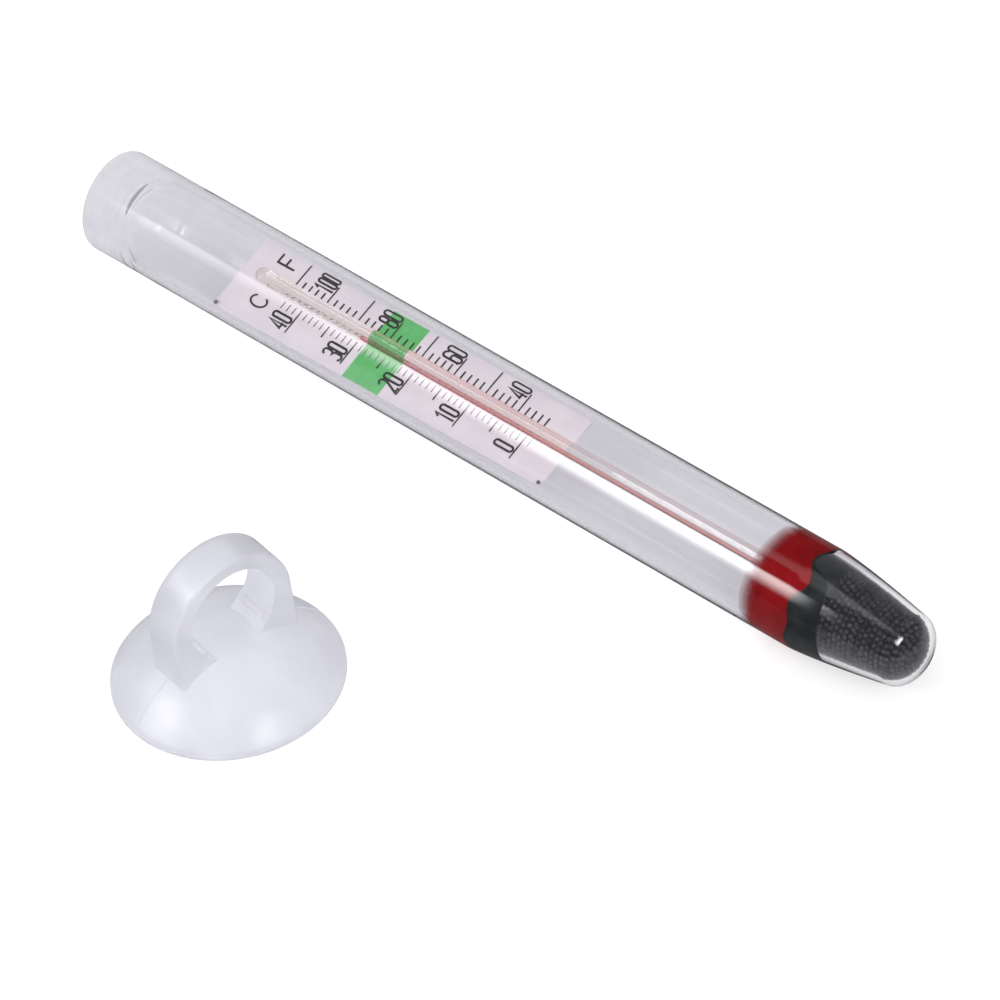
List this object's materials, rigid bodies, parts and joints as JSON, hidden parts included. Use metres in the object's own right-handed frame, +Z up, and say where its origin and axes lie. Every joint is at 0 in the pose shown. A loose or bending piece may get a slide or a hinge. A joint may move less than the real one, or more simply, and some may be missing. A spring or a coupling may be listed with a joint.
{
  "type": "glass aquarium thermometer",
  "caption": "Floating glass thermometer with a red spirit column, a two-scale card and a weighted tip, with the clear suction cup whose ring holds it to a tank wall.",
  "frame": {"origin": "on the table top, midway between the ends and between the sides of the thermometer and its cup", "axes": "+X along the tube towards its weighted tip, +Z up, the suction cup on the -Y side"},
  "size_m": [0.1104, 0.0564, 0.0168],
  "materials": {
    "tube_glass": "clear, polished",
    "stem_glass": "clear, polished",
    "card_paper": "matt, printed in black and green",
    "adhesive": "dark set adhesive",
    "spirit": "dyed red liquid",
    "shot": "dull dark metal balls",
    "pitch": "set black pitch",
    "wax": "set red wax",
    "vinyl": "soft clear vinyl with a slight lavender haze"
  },
  "bodies": {
    "thermometer": {"outer_tube": "tube_glass", "end_disc": "tube_glass", "scale_card": "card_paper", "glue_bead_upper": "adhesive", "glue_bead_lower": "adhesive", "capillary_stem": "stem_glass", "bulb": "stem_glass", "spirit_in_bulb": "spirit", "spirit_column": "spirit", "ballast_shot": "shot", "pitch_plug": "pitch", "red_wax_plug": "wax"},
    "spirit_thread": {"spirit_top": "spirit"},
    "cup_base": {"suction_cup_skirt": "vinyl"},
    "cup_crown": {"suction_cup_ring": "vinyl"}
  },
  "joints": [
    {"name": "spirit_rise", "type": "slide", "parent": "thermometer", "child": "spirit_thread", "axis": [-1, 0, 0], "range_m": [-0.0225, 0.0103], "deforming": ["spirit_column"]},
    {"name": "cup_lift", "type": "slide", "parent": "thermometer", "child": "cup_base", "axis": [0, 0, 1], "range_m": [0, 0.05]},
    {"name": "cup_press", "type": "slide", "parent": "cup_base", "child": "cup_crown", "axis": [0, 0, -1], "range_m": [0, 0.002], "stiffness_N_per_m": 800, "deforming": ["suction_cup_skirt"]}
  ]
}
